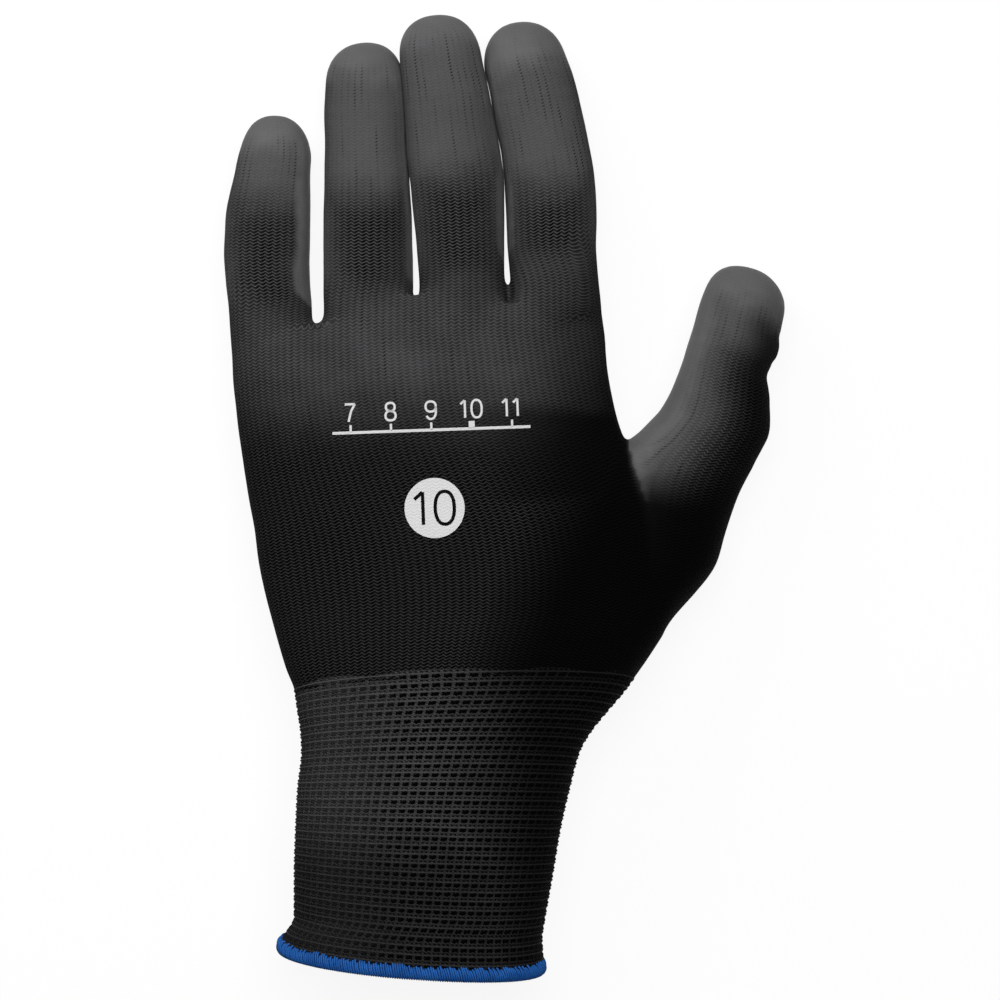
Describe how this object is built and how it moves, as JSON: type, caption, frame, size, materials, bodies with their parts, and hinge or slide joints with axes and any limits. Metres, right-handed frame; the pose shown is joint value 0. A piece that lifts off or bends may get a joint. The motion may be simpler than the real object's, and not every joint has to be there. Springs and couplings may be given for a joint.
{
  "type": "cut resistant glove",
  "caption": "Left-hand knitted work glove with a thin coated palm and fingertips, a ribbed elastic cuff and an overlocked hem; fingers, thumb and wrist bend.",
  "frame": {"origin": "middle of the palm's resting face, which lies on the table", "axes": "+X towards the thumb's side, +Y towards the fingertips, +Z out of the back of the hand"},
  "size_m": [0.1454, 0.2558, 0.0479],
  "materials": {
    "knit": "matt black and charcoal seamless nylon knit",
    "coating": "thin matt polyurethane film, soaked into the knit",
    "elastic": "covered elastic thread knitted in as raised courses",
    "hem_thread": "blue overlocked thread",
    "print": "white transfer print"
  },
  "bodies": {
    "hand": {"hand_knit": "knit", "palm_coating": "coating", "thumb_ball_coating": "coating", "wrist_elastic": "elastic", "size_print": "print"},
    "cuff": {"cuff_knit": "knit", "cuff_elastic": "elastic", "cuff_hem": "hem_thread", "wrist_stretch_zone": "knit"},
    "index_base": {"index_base_knit": "knit", "index_base_coating": "coating", "index_root_stretch_zone": "knit"},
    "index_middle": {"index_middle_knit": "knit", "index_middle_coating": "coating", "index_middle_stretch_zone": "knit"},
    "index_tip": {"index_tip_knit": "knit", "index_tip_coating": "coating", "index_tip_stretch_zone": "knit"},
    "middle_base": {"middle_base_knit": "knit", "middle_base_coating": "coating", "middle_root_stretch_zone": "knit"},
    "middle_middle": {"middle_middle_knit": "knit", "middle_middle_coating": "coating", "middle_middle_stretch_zone": "knit"},
    "middle_tip": {"middle_tip_knit": "knit", "middle_tip_coating": "coating", "middle_tip_stretch_zone": "knit"},
    "ring_base": {"ring_base_knit": "knit", "ring_base_coating": "coating", "ring_root_stretch_zone": "knit"},
    "ring_middle": {"ring_middle_knit": "knit", "ring_middle_coating": "coating", "ring_middle_stretch_zone": "knit"},
    "ring_tip": {"ring_tip_knit": "knit", "ring_tip_coating": "coating", "ring_tip_stretch_zone": "knit"},
    "little_base": {"little_base_knit": "knit", "little_base_coating": "coating", "little_root_stretch_zone": "knit"},
    "little_middle": {"little_middle_knit": "knit", "little_middle_coating": "coating", "little_middle_stretch_zone": "knit"},
    "little_tip": {"little_tip_knit": "knit", "little_tip_coating": "coating", "little_tip_stretch_zone": "knit"},
    "thumb_base": {"thumb_base_knit": "knit", "thumb_base_coating": "coating", "thumb_root_stretch_zone": "knit"},
    "thumb_tip": {"thumb_tip_knit": "knit", "thumb_tip_coating": "coating", "thumb_tip_stretch_zone": "knit"}
  },
  "joints": [
    {"name": "index_root_bend", "type": "hinge", "parent": "hand", "child": "index_base", "pos_m": [0.0314, 0.07126, 0.015], "axis": [-0.9912, -0.1323, 0], "range_deg": [0, 70], "stiffness_Nm_per_rad": 0.012, "deforming": ["index_root_stretch_zone"]},
    {"name": "index_middle_bend", "type": "hinge", "parent": "index_base", "child": "index_middle", "pos_m": [0.03025, 0.09351, 0.014], "axis": [-0.9912, -0.1323, 0], "range_deg": [0, 80], "stiffness_Nm_per_rad": 0.006, "deforming": ["index_middle_stretch_zone"]},
    {"name": "index_tip_bend", "type": "hinge", "parent": "index_middle", "child": "index_tip", "pos_m": [0.02667, 0.11432, 0.0114], "axis": [-0.9912, -0.1323, 0], "range_deg": [0, 40], "stiffness_Nm_per_rad": 0.006, "deforming": ["index_tip_stretch_zone"]},
    {"name": "middle_root_bend", "type": "hinge", "parent": "hand", "child": "middle_base", "pos_m": [0.00695, 0.06678, 0.0156], "axis": [-0.9959, -0.0906, 0], "range_deg": [0, 70], "stiffness_Nm_per_rad": 0.006, "deforming": ["middle_root_stretch_zone"]},
    {"name": "middle_middle_bend", "type": "hinge", "parent": "middle_base", "child": "middle_middle", "pos_m": [0.00573, 0.09348, 0.0144], "axis": [-0.9959, -0.0906, 0], "range_deg": [0, 80], "stiffness_Nm_per_rad": 0.006, "deforming": ["middle_middle_stretch_zone"]},
    {"name": "middle_tip_bend", "type": "hinge", "parent": "middle_middle", "child": "middle_tip", "pos_m": [0.00304, 0.11522, 0.0114], "axis": [-0.9959, -0.0906, 0], "range_deg": [0, 40], "stiffness_Nm_per_rad": 0.006, "deforming": ["middle_tip_stretch_zone"]},
    {"name": "ring_root_bend", "type": "hinge", "parent": "hand", "child": "ring_base", "pos_m": [-0.0175, 0.06229, 0.0154], "axis": [-1, 0, 0], "range_deg": [0, 70], "stiffness_Nm_per_rad": 0.012, "deforming": ["ring_root_stretch_zone"]},
    {"name": "ring_middle_bend", "type": "hinge", "parent": "ring_base", "child": "ring_middle", "pos_m": [-0.0178, 0.08949, 0.0142], "axis": [-1, 0, 0], "range_deg": [0, 80], "stiffness_Nm_per_rad": 0.006, "deforming": ["ring_middle_stretch_zone"]},
    {"name": "ring_tip_bend", "type": "hinge", "parent": "ring_middle", "child": "ring_tip", "pos_m": [-0.0188, 0.11059, 0.0112], "axis": [-1, 0, 0], "range_deg": [0, 40], "stiffness_Nm_per_rad": 0.006, "deforming": ["ring_tip_stretch_zone"]},
    {"name": "little_root_bend", "type": "hinge", "parent": "hand", "child": "little_base", "pos_m": [-0.0439, 0.05744, 0.0142], "axis": [-0.9996, 0.0279, 0], "range_deg": [0, 70], "stiffness_Nm_per_rad": 0.012, "deforming": ["little_root_stretch_zone"]},
    {"name": "little_middle_bend", "type": "hinge", "parent": "little_base", "child": "little_middle", "pos_m": [-0.04399, 0.07935, 0.0132], "axis": [-0.9996, 0.0279, 0], "range_deg": [0, 80], "stiffness_Nm_per_rad": 0.006, "deforming": ["little_middle_stretch_zone"]},
    {"name": "little_tip_bend", "type": "hinge", "parent": "little_middle", "child": "little_tip", "pos_m": [-0.04245, 0.09512, 0.0106], "axis": [-0.9996, 0.0279, 0], "range_deg": [0, 40], "stiffness_Nm_per_rad": 0.006, "deforming": ["little_tip_stretch_zone"]},
    {"name": "thumb_root_bend", "type": "hinge", "parent": "hand", "child": "thumb_base", "pos_m": [0.0692, 0.0198, 0.015], "axis": [-0.9408, 0.2189, 0.2588], "range_deg": [0, 35], "stiffness_Nm_per_rad": 0.012, "deforming": ["thumb_root_stretch_zone"]},
    {"name": "thumb_tip_bend", "type": "hinge", "parent": "thumb_base", "child": "thumb_tip", "pos_m": [0.07872, 0.04746, 0.0136], "axis": [-0.6261, 0.1457, 0.766], "range_deg": [0, 60], "stiffness_Nm_per_rad": 0.012, "deforming": ["thumb_tip_stretch_zone"]},
    {"name": "wrist_bend", "type": "hinge", "parent": "hand", "child": "cuff", "pos_m": [0.0016, -0.057, 0.0214], "axis": [1, 0, 0], "range_deg": [-40, 40], "stiffness_Nm_per_rad": 0.05, "deforming": ["wrist_stretch_zone"]}
  ],
  "couplings": [
    {"joint": "index_tip_bend", "follows": "index_middle_bend", "ratio": 0.5},
    {"joint": "middle_tip_bend", "follows": "middle_middle_bend", "ratio": 0.5},
    {"joint": "ring_tip_bend", "follows": "ring_middle_bend", "ratio": 0.5},
    {"joint": "little_tip_bend", "follows": "little_middle_bend", "ratio": 0.5}
  ]
}
